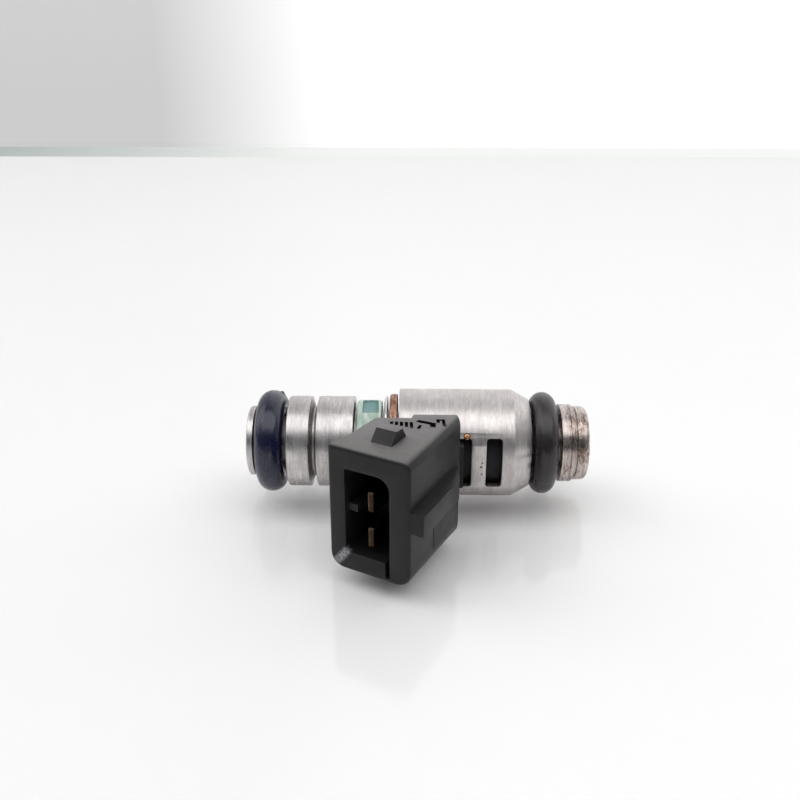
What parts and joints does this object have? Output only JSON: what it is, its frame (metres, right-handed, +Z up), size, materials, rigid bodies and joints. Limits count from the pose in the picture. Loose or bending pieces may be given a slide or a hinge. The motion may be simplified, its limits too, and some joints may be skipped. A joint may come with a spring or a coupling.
{
  "type": "port fuel injector",
  "caption": "Short solenoid fuel injector with a stepped steel body, sealing rings, a windowed can and a side electrical connector.",
  "frame": {"origin": "under the middle of the injector's box, on the surface that it lies on", "axes": "+X along the injector's axis from the fuel inlet to the spray end, +Z up, the connector points to -Y and -X"},
  "size_m": [0.0482, 0.0344, 0.0185],
  "materials": {
    "turned_steel": "fine turned, satin",
    "can_steel": "drawn, brushed around",
    "nozzle_steel": "turned, heat and fuel stained",
    "inner_steel": "ground",
    "ball_steel": "polished",
    "spring_steel": "drawn wire",
    "copper_plate": "copper coloured, dull, stained",
    "copper_wire": "enamelled copper",
    "terminal_brass": "bright, lightly tarnished",
    "mint_plastic": "translucent mint green",
    "black_plastic": "moulded, satin, lightly scuffed",
    "bobbin_plastic": "moulded",
    "filter_plastic": "moulded",
    "filter_mesh": "fine woven nylon screen",
    "blue_rubber": "dark blue, smooth",
    "black_rubber": "smooth, slightly worn"
  },
  "bodies": {
    "injector": {"inlet_body": "turned_steel", "inlet_filter_frame": "filter_plastic", "inlet_filter_mesh": "filter_mesh", "inlet_oring": "blue_rubber", "adjusting_sleeve": "inner_steel", "marker_ring": "mint_plastic", "retaining_ring": "turned_steel", "flux_washer": "copper_plate", "outer_can": "can_steel", "coil_wire_end": "copper_wire", "coil_bobbin": "bobbin_plastic", "coil_winding": "copper_wire", "coil_overmould": "black_plastic", "spacer_ring": "inner_steel", "nozzle_body": "nozzle_steel", "nozzle_oring": "black_rubber", "valve_seat": "inner_steel", "ball_guide": "inner_steel", "orifice_plate": "inner_steel", "plate_retainer": "inner_steel", "return_spring": "spring_steel", "connector_housing": "black_plastic", "terminal_blade_upper": "terminal_brass", "terminal_blade_lower": "terminal_brass"},
    "plunger": {"armature": "inner_steel", "valve_needle": "inner_steel", "valve_ball": "ball_steel"}
  },
  "joints": [
    {"name": "needle_lift", "type": "slide", "parent": "injector", "child": "plunger", "axis": [-1, 0, 0], "range_m": [0, 0.0001], "stiffness_N_per_m": 1500, "springref_m": -0.0015, "deforming": ["return_spring"]}
  ]
}
